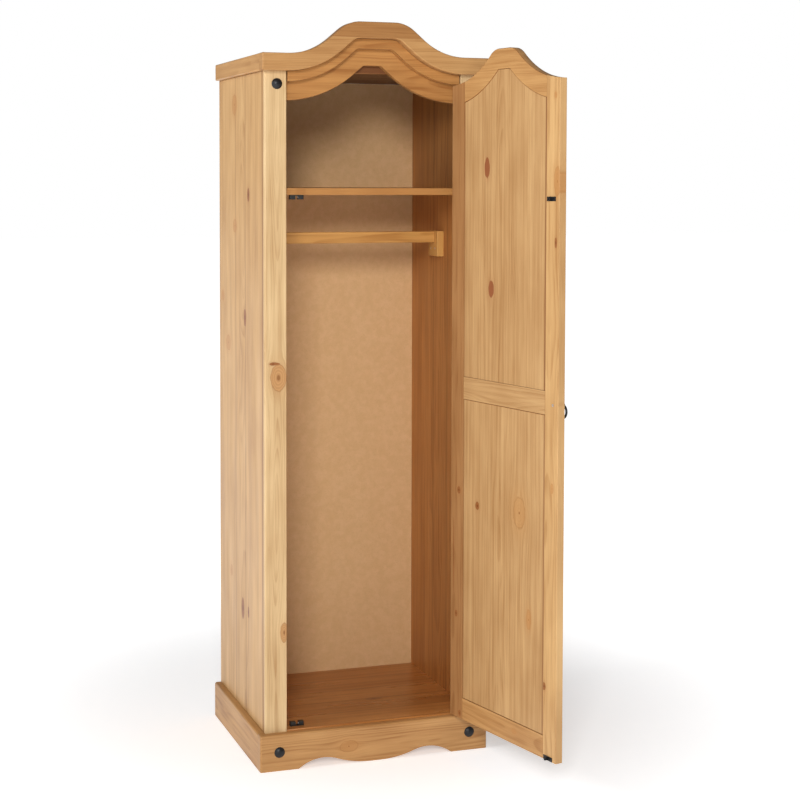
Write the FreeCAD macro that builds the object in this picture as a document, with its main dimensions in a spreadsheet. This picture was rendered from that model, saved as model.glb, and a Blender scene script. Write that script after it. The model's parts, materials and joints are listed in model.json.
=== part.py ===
import FreeCAD, Part
import math
import os
import re

import Sketcher

# Single-door pine wardrobe with an arched cornice.
# Frame: X to the right, Y to the back, Z up, millimetres.
# Origin: floor level, middle of the width, in the plane of the rear faces.
# The door is stored standing open at door_open degrees about its hinge pins.

DIMENSIONS = {
    # overall and plinth
    "overall_height": 1880,
    "plinth_width": 610,
    "plinth_depth": 500,
    "plinth_height": 92.5,
    "plinth_board": 28,
    "plinth_ease": 5,
    "scallop_toe": 205,
    "scallop_peak": 140,
    "scallop_rise": 22.5,
    "scallop_lobe": 12,
    "block_size": 40,
    "block_lift": 5,
    # carcass
    "carcass_width": 576,
    "step_back": 19,
    "board_thick": 18,
    "board_ease": 2,
    "top_thick": 22,
    "stile_width": 57,
    "stile_thick": 22,
    "stile_lip": 10,
    "stile_ease": 5,
    "floor_top": 97,
    "shelf_top": 1464.5,
    "back_thick": 4,
    "back_inset": 2,
    "back_rebate": 9,
    "dowel_radius": 4,
    "dowel_length": 30,
    # cornice and arched boards
    "cornice_width": 597,
    "cornice_lead": 6.5,
    "cornice_board": 33.5,
    "cornice_end": 43,
    "cornice_ease": 3,
    "crest_radius": 80,
    "foot_radius": 170,
    "foot_centre": 234.5,
    "arch_slope": 40.5,
    "arch_rise": 83,
    "inner_rise": 85.5,
    "strip_height": 26,
    "strip_gap": 2.5,
    "stop_height": 46,
    "stop_rise": 91,
    "stop_crest_radius": 8,
    # door
    "door_open": 102.3,
    "door_width": 458,
    "door_thick": 20,
    "door_bottom": 98.7,
    "door_shoulder": 1723.7,
    "door_rise": 83.2,
    "door_crest_radius": 57,
    "door_foot_radius": 283,
    "door_foot_centre": 244.6,
    "door_ease": 1.5,
    "hinge_stile": 56,
    "latch_stile": 51,
    "top_band": 51,
    "mid_rail_bottom": 928,
    "mid_rail_height": 57,
    "bottom_rail_height": 55.5,
    "tongue_depth": 8,
    "tongue_thick": 6,
    "tongue_front": 8,
    "panel_recess": 1,
    "panel_joint": 0.6,
    "field_margin": 30,
    "field_raise": 5,
    "small_crest_radius": 6,
    # hinges
    "hinge_lead": 6,
    "hinge_gap": 2,
    "hinge_height": 60,
    "hinge_reach": 16,
    "leaf_thick": 1.2,
    "barrel_radius": 4,
    "barrel_bore": 1.55,
    "pin_radius": 1.5,
    "knuckle_height": 20,
    "knuckle_gap": 0.3,
    "bottom_hinge": 230,
    "middle_hinge": 905,
    "top_hinge": 1590,
    # ring pull
    "pull_inset": 21,
    "pull_height": 953.5,
    "ring_radius": 16,
    "ring_wire": 2.8,
    "ring_stand": 8.5,
    "eye_radius": 5.5,
    "eye_bore": 3.5,
    "eye_width": 6,
    "rosette_radius": 13,
    "rosette_height": 4,
    "rosette_rim": 1,
    "stem_radius": 3.2,
    "pull_screw_proud": 0.3,
    "pull_screw_bite": 24,
    # hanging rail and its brackets
    "rail_height": 30,
    "rail_thick": 20,
    "rail_bottom": 1316,
    "rail_setback": 276,
    "rail_end_gap": 1,
    "bracket_depth": 70,
    "bracket_height": 68,
    "bracket_slot": 21,
    "bracket_floor": 0.3,
    "bracket_ease": 3,
    "bracket_rise": 1,
    "bracket_screw_pitch": 33,
    "bracket_screw_drop": 16,
    "bracket_screw_bite": 30,
    # double ball catches
    "catch_x": 198,
    "catch_width": 36,
    "catch_height": 11,
    "catch_depth": 12,
    "catch_gap": 8.2,
    "catch_floor": 2,
    "catch_bore": 3.08,
    "ball_radius": 3,
    "ball_proud": 1.8,
    "spring_length": 5.5,
    "spring_wire": 0.4,
    "spring_coils": 5,
    "spring_slack": 0.2,
    "cap_thick": 2,
    "strike_width": 34,
    "strike_plate": 1.2,
    "strike_reach": 11,
    "strike_tongue": 3,
    "strike_notch": 1.6,
    "strike_bite": 0.5,
    "strike_lift": 0.5,
    "strike_margin": 1.5,
    "strike_screw_pitch": 18,
    # studs, screws and pins
    "stud_radius": 13.5,
    "stud_height": 7,
    "stud_rim": 1,
    "stud_shank": 2,
    "stud_bite": 14,
    "stud_x": 255.5,
    "stile_stud_z": 1722,
    "plinth_stud_z": 47.5,
    "screw_head": 3.5,
    "screw_shank": 1.75,
    "screw_length": 14,
    "small_head": 2.2,
    "small_shank": 1.1,
    "small_length": 9,
    "tack_head": 2.5,
    "tack_crown": 0.8,
    "tack_shank": 0.8,
    "tack_length": 13,
    "tack_tip": 2,
    "tack_margin": 30,
}

doc = FreeCAD.newDocument("wardrobe")
sheet = doc.addObject("Spreadsheet::Sheet", "Params")
for row, (alias, number) in enumerate(DIMENSIONS.items(), start=1):
    sheet.set(f"A{row}", alias)
    sheet.set(f"B{row}", str(number))
    sheet.setAlias(f"B{row}", alias)
doc.recompute()


class Sizes:
    """The numbers in the sheet, read by name."""

    def __getattr__(self, alias):
        return float(sheet.get(alias))


p = Sizes()
nodes = {}

# Counts, and places given as a share of the length that they divide.
TACK_ROWS = 9
DOWEL_SHARES = (0.18, 0.5, 0.86)
# A screw's crossed recess, as shares of its head's radius: length, width and depth.
RECESS_SHARES = (1.1, 0.25, 0.3)
HINGE_SCREW_SHARE = 0.6
HINGE_SCREW_ROWS = (-1 / 3, 1 / 3)
Vector = FreeCAD.Vector
WORD = re.compile(r"[a-z]+(?:_[a-z]+)*")

# Formulas that several boards share, in the sheet's words.
FACE = "(-plinth_depth + step_back)"
STILE_BACK = "(-plinth_depth + step_back + stile_thick)"
STOP_BACK = "(-plinth_depth + step_back + stile_thick + board_thick)"
CORNICE_BACK = "(-plinth_depth - cornice_lead + cornice_board)"
BACK_FACE = "(-back_inset - back_thick)"
CORNICE_BASE = "(overall_height - arch_rise - cornice_end)"
OPENING = "(carcass_width / 2 - stile_width)"
INSIDE = "(carcass_width / 2 - board_thick)"
DOOR_HINGE_EDGE = "(-hinge_gap / 2)"
DOOR_LATCH_EDGE = "(-hinge_gap / 2 - door_width)"
DOOR_LEFT = "(-hinge_gap / 2 - door_width + latch_stile)"
DOOR_RIGHT = "(-hinge_gap / 2 - hinge_stile)"
DOOR_BACK = "(hinge_lead + door_thick)"
SIDES = {"left": -1, "right": 1}


def in_sheet(formula):
    """Points each known word of a formula at its cell."""
    return WORD.sub(lambda m: f"Params.{m[0]}" if m[0] in DIMENSIONS else m[0], formula)


def bind(item, target, formula):
    item.setExpression(target, in_sheet(formula))


def plane(body, role):
    return next(f for f in body.Origin.OriginFeatures if f.Role == role)


def attach(feature, body, role="XY_Plane", at=("0", "0", "0"), turn=None):
    """Fixes a feature to its own body's plane, offset by three formulas."""
    feature.AttachmentSupport = [(plane(body, role), "")]
    feature.MapMode = "FlatFace"
    if turn:
        feature.AttachmentOffset = FreeCAD.Placement(Vector(), turn)
    for axis, formula in zip("xyz", at):
        bind(feature, f"AttachmentOffset.Base.{axis}", formula)


def hang_on_door(item):
    """Turns a piece that is drawn in the closed door about the hinge pins."""
    item.Placement = FreeCAD.Placement(Vector(), FreeCAD.Rotation(Vector(0, 0, 1), p.door_open))
    bind(item, "Placement.Base.x", f"{OPENING} - hinge_gap / 2")
    bind(item, "Placement.Base.y", f"{FACE} - hinge_lead")
    bind(item, "Placement.Rotation.Angle", "door_open")


def new_body(label, on_door=False):
    body = doc.addObject("PartDesign::Body", label)
    body.Label = label
    nodes[label] = body
    if on_door:
        hang_on_door(body)
    return body


def box(body, kind, x, y, z):
    """An additive or subtractive box between pairs of formulas."""
    feature = body.newObject(f"PartDesign::{kind}Box", f"{body.Label}_{kind}Box")
    attach(feature, body, at=(x[0], y[0], z[0]))
    for side, (low, high) in zip(("Length", "Width", "Height"), (x, y, z)):
        bind(feature, side, f"({high}) - ({low})")
    doc.recompute()
    return feature


def cylinder(body, kind, at, radius, length, direction):
    """An additive or subtractive cylinder that starts at a point and runs along a direction."""
    feature = body.newObject(f"PartDesign::{kind}Cylinder", f"{body.Label}_{kind}Cylinder")
    attach(feature, body, at=at, turn=FreeCAD.Rotation(Vector(0, 0, 1), direction))
    bind(feature, "Radius", radius)
    bind(feature, "Height", length)
    doc.recompute()
    return feature


def ease(body, places, radius):
    """Rounds the edges that lie on the named sides, such as "front top" or "front"."""
    shape = body.Tip.Shape
    limits = shape.BoundBox
    sides = {
        "left": lambda c: c.x - limits.XMin,
        "right": lambda c: limits.XMax - c.x,
        "front": lambda c: c.y - limits.YMin,
        "back": lambda c: limits.YMax - c.y,
        "bottom": lambda c: c.z - limits.ZMin,
        "top": lambda c: limits.ZMax - c.z,
    }
    chosen = []
    for index, edge in enumerate(shape.Edges, start=1):
        centre = edge.CenterOfMass
        for place in places:
            if all(abs(sides[word](centre)) < 1e-4 for word in place.split()):
                chosen.append(f"Edge{index}")
    base = body.Tip
    fillet = body.newObject("PartDesign::Fillet", f"{body.Label}_ease")
    fillet.Base = (base, sorted(set(chosen)))
    bind(fillet, "Radius", radius)
    doc.recompute()


def board(label, x, y, z, eased=(), radius="board_ease", on_door=False):
    """A straight board between pairs of formulas, with some long edges eased."""
    body = new_body(label, on_door)
    box(body, "Additive", x, y, z)
    if eased:
        ease(body, eased, radius)
    return body


# ---------------------------------------------------------------- arched outlines


class Arch:
    """A symmetrical bonnet arch: level shoulders, foot arcs, straight slopes, crest arcs, level crest."""

    def __init__(self, base, rise, crest, foot, centre, crest_formula, foot_formula, middle=0.0):
        steepest = math.acos(1 - rise / (foot + crest))
        slope = min(math.radians(p.arch_slope), steepest)
        self.base = base
        self.rise = rise
        self.crest = crest
        self.foot = foot
        self.middle = middle
        self.formulas = {"crest": crest_formula, "foot": foot_formula}
        self.foot_end = centre
        self.foot_start = centre - foot * math.sin(slope)
        straight = rise - (foot + crest) * (1 - math.cos(slope))
        self.crest_end = self.foot_start - straight / math.tan(slope)
        self.crest_start = self.crest_end - crest * math.sin(slope)
        self.slope = slope

    def height(self, x):
        """Height of the edge at a distance from the middle."""
        across = abs(x - self.middle)
        if across <= self.crest_start:
            drop = 0.0
        elif across <= self.crest_end:
            drop = self.crest - math.sqrt(self.crest**2 - (across - self.crest_start) ** 2)
        elif across <= self.foot_start:
            drop = self.crest * (1 - math.cos(self.slope))
            drop += (across - self.crest_end) * math.tan(self.slope)
        elif across <= self.foot_end:
            drop = self.rise - self.foot + math.sqrt(self.foot**2 - (self.foot_end - across) ** 2)
        else:
            drop = self.rise
        return self.base + self.rise - drop

    def kind(self, x):
        across = abs(x - self.middle)
        if self.crest_start < across < self.crest_end:
            return "crest"
        if self.foot_start < across < self.foot_end:
            return "foot"
        return "line"

    def path(self, low, high):
        """Segments of the edge from the left limit to the right one."""
        knots = [self.crest_start, self.crest_end, self.foot_start, self.foot_end]
        inner = [self.middle + side * knot for knot in knots for side in (-1, 1)]
        stops = [low] + sorted(x for x in inner if low < x < high) + [high]
        segments = []
        for start, end in zip(stops, stops[1:]):
            if end - start < 1e-6:
                continue
            centre = (start + end) / 2
            points = [(x, self.height(x)) for x in (start, centre, end)]
            segments.append((self.kind(centre), points, self.formulas.get(self.kind(centre))))
        return segments


def straight(*corners):
    """Straight segments through a list of corners."""
    return [("line", [a, a, b], None) for a, b in zip(corners, corners[1:])]


def backwards(segments):
    return [(kind, points[::-1], formula) for kind, points, formula in reversed(segments)]


def outline(body, segments, back, size=None):
    """A closed sketch on the XZ plane at a depth, from segments listed end to end."""
    sketch = body.newObject("Sketcher::SketchObject", f"{body.Label}_outline")
    attach(sketch, body, role="XZ_Plane", at=("0", "0", f"-({back})"))
    for index, (kind, points, formula) in enumerate(segments):
        start, middle, end = [Vector(x, z, 0) for x, z in points]
        if kind == "line":
            sketch.addGeometry(Part.LineSegment(start, end))
            if abs(start.y - end.y) < 1e-7:
                sketch.addConstraint(Sketcher.Constraint("Horizontal", index))
            elif abs(start.x - end.x) < 1e-7:
                sketch.addConstraint(Sketcher.Constraint("Vertical", index))
            continue
        arc = Part.Arc(start, middle, end)
        sketch.addGeometry(arc)
        radius = sketch.addConstraint(Sketcher.Constraint("Radius", index, arc.toShape().Curve.Radius))
        if formula:
            bind(sketch, f"Constraints[{radius}]", formula)
    join(sketch)
    if size:
        place_outline(sketch, size)
    doc.recompute()
    return sketch


def join(sketch):
    """Makes each segment end where the next one starts."""
    count = sketch.GeometryCount
    ends = [closest_ends(sketch, i, (i + 1) % count) for i in range(count)]
    for index, (here, there) in enumerate(ends):
        sketch.addConstraint(Sketcher.Constraint("Coincident", index, here, (index + 1) % count, there))


def closest_ends(sketch, first, second):
    """Which end of one segment meets which end of another: 1 is a start, 2 is an end."""
    pairs = [(a, b) for a in (1, 2) for b in (1, 2)]
    return min(pairs, key=lambda ab: (sketch.getPoint(first, ab[0]) - sketch.getPoint(second, ab[1])).Length)


def place_outline(sketch, size):
    """Binds the first segment's start, measured from the plane's origin."""
    for kind, formula in zip(("DistanceX", "DistanceY"), size):
        point = sketch.getPoint(0, 1)
        value = point.x if kind == "DistanceX" else point.y
        index = sketch.addConstraint(Sketcher.Constraint(kind, -1, 1, 0, 1, value))
        bind(sketch, f"Constraints[{index}]", formula)


def pad(body, sketch, length):
    feature = body.newObject("PartDesign::Pad", f"{body.Label}_pad")
    feature.Profile = sketch
    bind(feature, "Length", length)
    doc.recompute()
    return feature


def pocket(body, sketch, length):
    """Cuts forwards from the sketch, towards -Y, and makes sure that it removed something."""
    before = body.Tip.Shape.Volume
    feature = body.newObject("PartDesign::Pocket", f"{body.Label}_pocket")
    feature.Profile = sketch
    feature.Reversed = True
    bind(feature, "Length", length)
    doc.recompute()
    if feature.Shape.Volume >= before - 1:
        raise RuntimeError(f"the pocket in {body.Label} cut nothing")
    return feature


def cornice_arch(inset, rise, crest, inset_formula, crest_formula):
    """One of the nested arches, a distance inside the cornice's top edge."""
    base = p.overall_height - p.arch_rise - inset
    foot_formula = f"foot_radius + {inset_formula}"
    return Arch(base, rise, crest, p.foot_radius + inset, p.foot_centre, crest_formula, foot_formula)


def cornice_arches():
    end = p.cornice_end
    strip = end + p.strip_height
    stop = strip + p.stop_height
    return {
        "top": cornice_arch(0, p.arch_rise, p.crest_radius, "0", "crest_radius"),
        "under": cornice_arch(
            end, p.inner_rise, p.crest_radius - end, "cornice_end", "crest_radius - cornice_end"
        ),
        "strip": cornice_arch(
            strip,
            p.inner_rise,
            p.crest_radius - strip,
            "cornice_end + strip_height",
            "crest_radius - cornice_end - strip_height",
        ),
        "stop": cornice_arch(
            stop,
            p.stop_rise,
            p.stop_crest_radius,
            "cornice_end + strip_height + stop_height",
            "stop_crest_radius",
        ),
    }


def arched_board(label, lower, upper, half_width, back, thickness, eased, radius="board_ease"):
    """A board between two arched edges with square ends."""
    body = new_body(label)
    bottom = lower.path(-half_width, half_width)
    top = upper.path(-half_width, half_width)
    ends = [(x, lower.height(x)) for x in (-half_width, half_width)]
    tops = [(x, upper.height(x)) for x in (-half_width, half_width)]
    segments = bottom + straight(ends[1], tops[1]) + backwards(top) + straight(tops[0], ends[0])
    pad(body, outline(body, segments, back), thickness)
    if eased:
        ease(body, eased, radius)
    return body


# ---------------------------------------------------------------- carcass


def build_sides():
    """Two glued-up side panels, rebated at the back for the thin back panel."""
    for side, sign in SIDES.items():
        outer = f"{sign} * carcass_width / 2"
        inner = f"{sign} * {INSIDE}"
        rebate = f"{sign} * ({INSIDE} + back_rebate)"
        x = (outer, inner) if sign < 0 else (inner, outer)
        cut = (rebate, inner) if sign < 0 else (inner, rebate)
        body = board(f"side_panel_{side}", x, (f"{FACE} + stile_lip", "0"), ("plinth_height", CORNICE_BASE))
        box(body, "Subtractive", cut, (BACK_FACE, "0"), ("plinth_height", CORNICE_BASE))


def build_stiles():
    """Two front stiles. The right one is recessed for the hinges' leaves."""
    for side, sign in SIDES.items():
        outer = f"{sign} * carcass_width / 2"
        inner = f"{sign} * {OPENING}"
        rebate = f"{sign} * {INSIDE}"
        x = (outer, inner) if sign < 0 else (inner, outer)
        cut = (outer, rebate) if sign < 0 else (rebate, outer)
        z = ("plinth_height", CORNICE_BASE)
        body = board(f"stile_{side}", x, (FACE, STILE_BACK), z, (f"front {side}",), "stile_ease")
        other = {"left": "right", "right": "left"}[side]
        ease(body, (f"front {other}",), "board_ease")
        box(body, "Subtractive", cut, (f"{FACE} + stile_lip", STILE_BACK), z)
    for height in hinge_heights():
        box(
            nodes["stile_right"],
            "Subtractive",
            (OPENING, f"{OPENING} + leaf_thick"),
            (FACE, f"{FACE} + hinge_reach"),
            (f"{height} - hinge_height / 2", f"{height} + hinge_height / 2"),
        )


def build_floor():
    """The floor panel, which laps over the plinth and fits round the stiles."""
    body = board(
        "floor_panel",
        (f"-{INSIDE}", INSIDE),
        (FACE, BACK_FACE),
        ("floor_top - board_thick", "floor_top"),
        ("front top",),
    )
    plinth_back = "-plinth_depth + plinth_board"
    under = ("floor_top - board_thick", "plinth_height")
    box(body, "Subtractive", (f"-{INSIDE}", INSIDE), (FACE, plinth_back), under)
    for sign in SIDES.values():
        x = (f"-{INSIDE}", f"-{OPENING}") if sign < 0 else (OPENING, INSIDE)
        box(body, "Subtractive", x, (FACE, STILE_BACK), ("plinth_height", "floor_top"))


def build_inner_panels():
    """Top panel, shelf and back panel."""
    width = (f"-{INSIDE}", INSIDE)
    board("top_panel", width, (STOP_BACK, BACK_FACE), (CORNICE_BASE, f"{CORNICE_BASE} + top_thick"))
    board(
        "shelf",
        width,
        (STILE_BACK, BACK_FACE),
        ("shelf_top - board_thick", "shelf_top"),
        ("front top", "front bottom"),
    )
    board(
        "back_panel",
        (f"-{INSIDE} - back_rebate", f"{INSIDE} + back_rebate"),
        (BACK_FACE, "-back_inset"),
        ("plinth_height", CORNICE_BASE),
    )


def build_cornice():
    """The arched front of the cornice, its side boards, the strip below it and the door stop."""
    arches = cornice_arches()
    half = p.cornice_width / 2
    arched_board(
        "cornice_front",
        arches["under"],
        arches["top"],
        half,
        CORNICE_BACK,
        "cornice_board",
        ("front", "top left", "top right"),
        "cornice_ease",
    )
    opening = p.carcass_width / 2 - p.stile_width
    arched_board(
        "arch_strip",
        arches["strip"],
        arches["under"],
        opening - p.strip_gap,
        STILE_BACK,
        "stile_thick",
        (),
    )
    inside = p.carcass_width / 2 - p.board_thick
    arched_board("door_stop", arches["stop"], arches["under"], inside, STOP_BACK, "board_thick", ())
    for side, sign in SIDES.items():
        outer = f"{sign} * cornice_width / 2"
        inner = f"{sign} * {INSIDE}"
        x = (outer, inner) if sign < 0 else (inner, outer)
        z = (CORNICE_BASE, f"{CORNICE_BASE} + cornice_end")
        edges = (f"{side} top", f"{side} bottom")
        board(f"cornice_{side}", x, (CORNICE_BACK, "0"), z, edges, "cornice_ease")


# ---------------------------------------------------------------- plinth


def scallop_path():
    """Lower edge of the plinth's front: two feet, two arched cuts and a shallow lobe between them."""
    rise, peak, toe, lobe = p.scallop_rise, p.scallop_peak, p.scallop_toe, p.scallop_lobe
    cut = ((toe - peak) ** 2 + rise**2) / (2 * rise)
    both = ((peak - lobe) ** 2 + rise**2) / (2 * rise)
    low = both - cut
    share = low / both
    meet = (lobe + (peak - lobe) * share, low + (rise - cut - low) * share)

    def cut_height(x):
        return rise - cut + math.sqrt(cut**2 - (x - peak) ** 2)

    def low_height(x):
        return low - math.sqrt(low**2 - (x - lobe) ** 2)

    half = p.plinth_width / 2
    middle = (meet[0] + toe) / 2
    half_cut = [(toe, 0.0), (middle, cut_height(middle)), meet]
    low_middle = (lobe + meet[0]) / 2
    half_lobe = [meet, (low_middle, low_height(low_middle)), (lobe, 0.0)]
    right = [
        ("cut", half_lobe[::-1], None),
        ("cut", half_cut[::-1], None),
        ("line", [(toe, 0.0), (toe, 0.0), (half, 0.0)], None),
    ]
    left = [(kind, [(-x, z) for x, z in points[::-1]], None) for kind, points, _ in reversed(right)]
    return left + straight((-lobe, 0.0), (lobe, 0.0)) + right


def build_plinth():
    """Front board with its scalloped edge, two side boards, a rear rail and four glue blocks."""
    body = new_body("plinth_front")
    half = p.plinth_width / 2
    top = straight((half, 0.0), (half, p.plinth_height), (-half, p.plinth_height), (-half, 0.0))
    sketch = outline(body, scallop_path() + top, "-plinth_depth + plinth_board", ("-plinth_width / 2", "0"))
    pad(body, sketch, "plinth_board")
    ease(body, ("front top", "left top", "right top", "front left", "front right"), "plinth_ease")
    for side, sign in SIDES.items():
        outer = f"{sign} * plinth_width / 2"
        inner = f"{sign} * (plinth_width / 2 - plinth_board)"
        x = (outer, inner) if sign < 0 else (inner, outer)
        y = ("-plinth_depth + plinth_board", "0")
        board(f"plinth_{side}", x, y, ("0", "plinth_height"), (f"{side} top",), "plinth_ease")
    inner = "plinth_width / 2 - plinth_board"
    under_floor = "floor_top - board_thick"
    board("plinth_rear", (f"-({inner})", inner), ("-board_thick", "0"), ("0", under_floor))
    blocks = []
    for sign in SIDES.values():
        for y in (-p.plinth_depth + p.plinth_board, -p.board_thick - p.block_size):
            height = p.floor_top - p.board_thick - p.block_lift
            block = Part.makeBox(p.block_size, p.block_size, height)
            edge = p.plinth_width / 2 - p.plinth_board
            x = -edge if sign < 0 else edge - p.block_size
            block.translate(Vector(x, y, p.block_lift))
            blocks.append(block)
    group("plinth_blocks", blocks)


# ---------------------------------------------------------------- door


def door_arch(inset, crest, crest_formula, inset_formula):
    """An arch a distance inside the door's top edge, in the closed door's own frame."""
    middle = -p.hinge_gap / 2 - p.door_width / 2
    return Arch(
        p.door_shoulder - inset,
        p.door_rise,
        crest,
        p.door_foot_radius + inset,
        p.door_foot_centre,
        crest_formula,
        f"door_foot_radius + {inset_formula}",
        middle,
    )


def door_edges():
    hinge = -p.hinge_gap / 2
    latch = hinge - p.door_width
    return {
        "hinge": hinge,
        "latch": latch,
        "right": hinge - p.hinge_stile,
        "left": latch + p.latch_stile,
        "outer": door_arch(0, p.door_crest_radius, "door_crest_radius", "0"),
    }


def inner_arch(inset, inset_formula):
    return door_arch(p.top_band + inset, p.small_crest_radius, "small_crest_radius", inset_formula)


def arched_panel(left, right, bottom, arch):
    """A closed outline with an arched top."""
    sides = straight((right, arch.height(right)), (right, bottom), (left, bottom), (left, arch.height(left)))
    return arch.path(left, right) + sides


def rectangle(left, right, bottom, top):
    return straight((left, top), (right, top), (right, bottom), (left, bottom), (left, top))


def build_door_stiles():
    """Two stiles whose top ends follow the arch, grooved for the panels."""
    e = door_edges()
    spans = {"door_latch_stile": (e["latch"], e["left"]), "door_hinge_stile": (e["right"], e["hinge"])}
    groove_y = ("hinge_lead + tongue_front", "hinge_lead + tongue_front + tongue_thick")
    grooves = {
        "door_latch_stile": (f"{DOOR_LEFT} - tongue_depth", DOOR_LEFT),
        "door_hinge_stile": (DOOR_RIGHT, f"{DOOR_RIGHT} + tongue_depth"),
    }
    for label, (left, right) in spans.items():
        body = new_body(label, on_door=True)
        segments = arched_panel(left, right, p.door_bottom, e["outer"])
        pad(body, outline(body, segments, DOOR_BACK), "door_thick")
        outer = "left" if label == "door_latch_stile" else "right"
        ease(body, (f"front {outer}", f"back {outer}"), "door_ease")
        top = "door_shoulder + door_rise"
        box(body, "Subtractive", grooves[label], groove_y, ("door_bottom", top))
    for height in hinge_heights():
        box(
            nodes["door_hinge_stile"],
            "Subtractive",
            (f"{DOOR_HINGE_EDGE} - leaf_thick", DOOR_HINGE_EDGE),
            ("hinge_lead", "hinge_lead + hinge_reach"),
            (f"{height} - hinge_height / 2", f"{height} + hinge_height / 2"),
        )


def build_door_rails():
    """Arched top rail, middle rail and bottom rail, with stub tenons in the stiles' grooves."""
    e = door_edges()
    body = new_body("door_top_rail", on_door=True)
    lower = inner_arch(0, "top_band")
    for reach, back, thickness in (
        (0.0, DOOR_BACK, "door_thick"),
        (p.tongue_depth, "hinge_lead + tongue_front + tongue_thick", "tongue_thick"),
    ):
        left, right = e["left"] - reach, e["right"] + reach
        segments = e["outer"].path(left, right)
        segments += straight((right, e["outer"].height(right)), (right, lower.height(right)))
        segments += backwards(lower.path(left, right))
        segments += straight((left, lower.height(left)), (left, e["outer"].height(left)))
        pad(body, outline(body, segments, back), thickness)
    groove = tongue_outline(e, p.mid_rail_bottom + p.mid_rail_height)
    pocket_y = "hinge_lead + tongue_front + tongue_thick"
    pocket(body, outline(body, groove, pocket_y), "tongue_thick")

    groove_y = ("hinge_lead + tongue_front", "hinge_lead + tongue_front + tongue_thick")
    x = (DOOR_LEFT, DOOR_RIGHT)
    tenon_x = (f"{DOOR_LEFT} - tongue_depth", f"{DOOR_RIGHT} + tongue_depth")
    rails = {
        "door_mid_rail": ("mid_rail_bottom", "mid_rail_bottom + mid_rail_height"),
        "door_bottom_rail": ("door_bottom", "door_bottom + bottom_rail_height"),
    }
    for label, z in rails.items():
        body = board(label, x, ("hinge_lead", DOOR_BACK), z, on_door=True)
        box(body, "Additive", tenon_x, groove_y, z)
        box(body, "Subtractive", x, groove_y, (f"{z[1]} - tongue_depth", z[1]))
        if label == "door_mid_rail":
            box(body, "Subtractive", x, groove_y, (z[0], f"{z[0]} + tongue_depth"))
    tenon_ends(nodes["door_mid_rail"], tenon_x, x, groove_y, rails["door_mid_rail"], both=True)
    tenon_ends(nodes["door_bottom_rail"], tenon_x, x, groove_y, rails["door_bottom_rail"], both=False)


def tenon_ends(body, tenon_x, x, y, z, both):
    """Shortens the tenons so that the panels' tongues pass them."""
    for ends in ((tenon_x[0], x[0]), (x[1], tenon_x[1])):
        box(body, "Subtractive", ends, y, (f"{z[1]} - tongue_depth", z[1]))
        if both:
            box(body, "Subtractive", ends, y, (z[0], f"{z[0]} + tongue_depth"))


def tongue_outline(e, bottom):
    """The arched panel's full outline, with the tongue that sits in the grooves."""
    reach = p.tongue_depth
    arch = inner_arch(-reach, "top_band - tongue_depth")
    return arched_panel(e["left"] - reach, e["right"] + reach, bottom - reach, arch)


def panel_layers(label, make_outline):
    """A panel as a tongue, an inner face just below the frame and a raised outer field."""
    body = new_body(label, on_door=True)
    tongue_back = "hinge_lead + tongue_front + tongue_thick"
    pad(body, outline(body, make_outline(p.tongue_depth), tongue_back), "tongue_thick")
    inner_face = f"{DOOR_BACK} - panel_recess"
    depth = f"({inner_face}) - ({tongue_back})"
    pad(body, outline(body, make_outline(-p.panel_joint), inner_face), depth)
    field = make_outline(-p.field_margin)
    pad(body, outline(body, field, "hinge_lead + tongue_front"), "field_raise")
    chamfer_front(body)
    return body


def chamfer_front(body):
    """Bevels the raised field down towards its margin."""
    shape = body.Tip.Shape
    front = shape.BoundBox.YMin
    edges = [i for i, edge in enumerate(shape.Edges, start=1) if abs(edge.CenterOfMass.y - front) < 1e-4]
    base = body.Tip
    chamfer = body.newObject("PartDesign::Chamfer", f"{body.Label}_bevel")
    chamfer.Base = (base, [f"Edge{i}" for i in edges])
    bind(chamfer, "Size", "field_raise - 1")
    doc.recompute()


def build_door_panels():
    e = door_edges()
    low = p.door_bottom + p.bottom_rail_height
    high = p.mid_rail_bottom
    above = p.mid_rail_bottom + p.mid_rail_height

    def lower(grow):
        return rectangle(e["left"] - grow, e["right"] + grow, low - grow, high + grow)

    def upper(grow):
        arch = inner_arch(-grow, f"top_band - ({grow})")
        return arched_panel(e["left"] - grow, e["right"] + grow, above - grow, arch)

    panel_layers("door_lower_panel", lower)
    panel_layers("door_upper_panel", upper)


# ---------------------------------------------------------------- hinges


def hinge_heights():
    return ("bottom_hinge", "middle_hinge", "top_hinge")


def knuckle_spans():
    """Low and high ends of the frame's two knuckles and the door's one, from the hinge's middle."""
    half = "hinge_height / 2"
    centre = "knuckle_height / 2"
    return {
        "frame": ((f"-{half}", f"-{centre} - knuckle_gap / 2"), (f"{centre} + knuckle_gap / 2", half)),
        "door": ((f"-{centre} + knuckle_gap / 2", f"{centre} - knuckle_gap / 2"),),
    }


def build_hinges():
    """Three butt hinges: a leaf in the stile, a leaf in the door, and a pin."""
    for height in hinge_heights():
        name = height.split("_")[0]
        for owner in ("frame", "door"):
            build_leaf(f"hinge_{owner}_leaf_{name}", owner, height)
        pin = new_body(f"hinge_pin_{name}")
        at = (f"{OPENING} - hinge_gap / 2", f"{FACE} - hinge_lead", f"{height} - hinge_height / 2")
        cylinder(pin, "Additive", at, "pin_radius", "hinge_height", Vector(0, 0, 1))


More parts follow.
